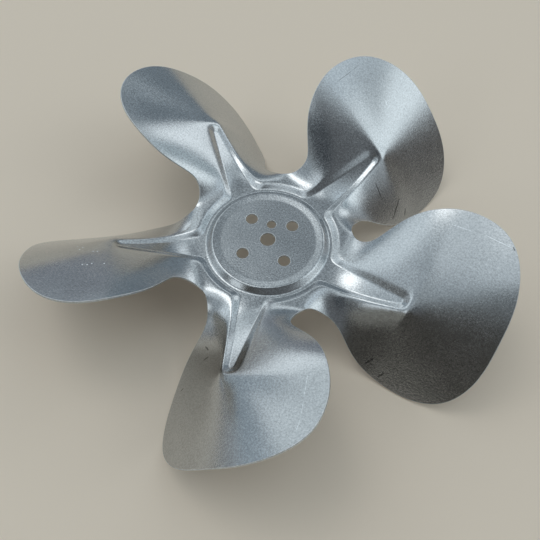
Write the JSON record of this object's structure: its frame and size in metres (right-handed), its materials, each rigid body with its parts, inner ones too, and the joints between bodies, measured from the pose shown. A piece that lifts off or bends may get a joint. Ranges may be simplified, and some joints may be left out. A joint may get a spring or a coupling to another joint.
{
  "type": "evaporator fan blade",
  "caption": "Stamped aluminium axial fan blade: flat drilled hub disc, star-shaped stiffening ribs and twisted, cambered paddle blades that move air through an evaporator.",
  "frame": {"origin": "centre of the bore at the hub disc's upper face", "axes": "+Z along the bore, out of the hub disc's upper face; +X along the first rib"},
  "size_m": [0.1934, 0.1988, 0.053],
  "materials": {
    "aluminium": "bare mill finish, fine grain"
  },
  "bodies": {
    "root": {"fan_blade": "aluminium"}
  },
  "joints": []
}
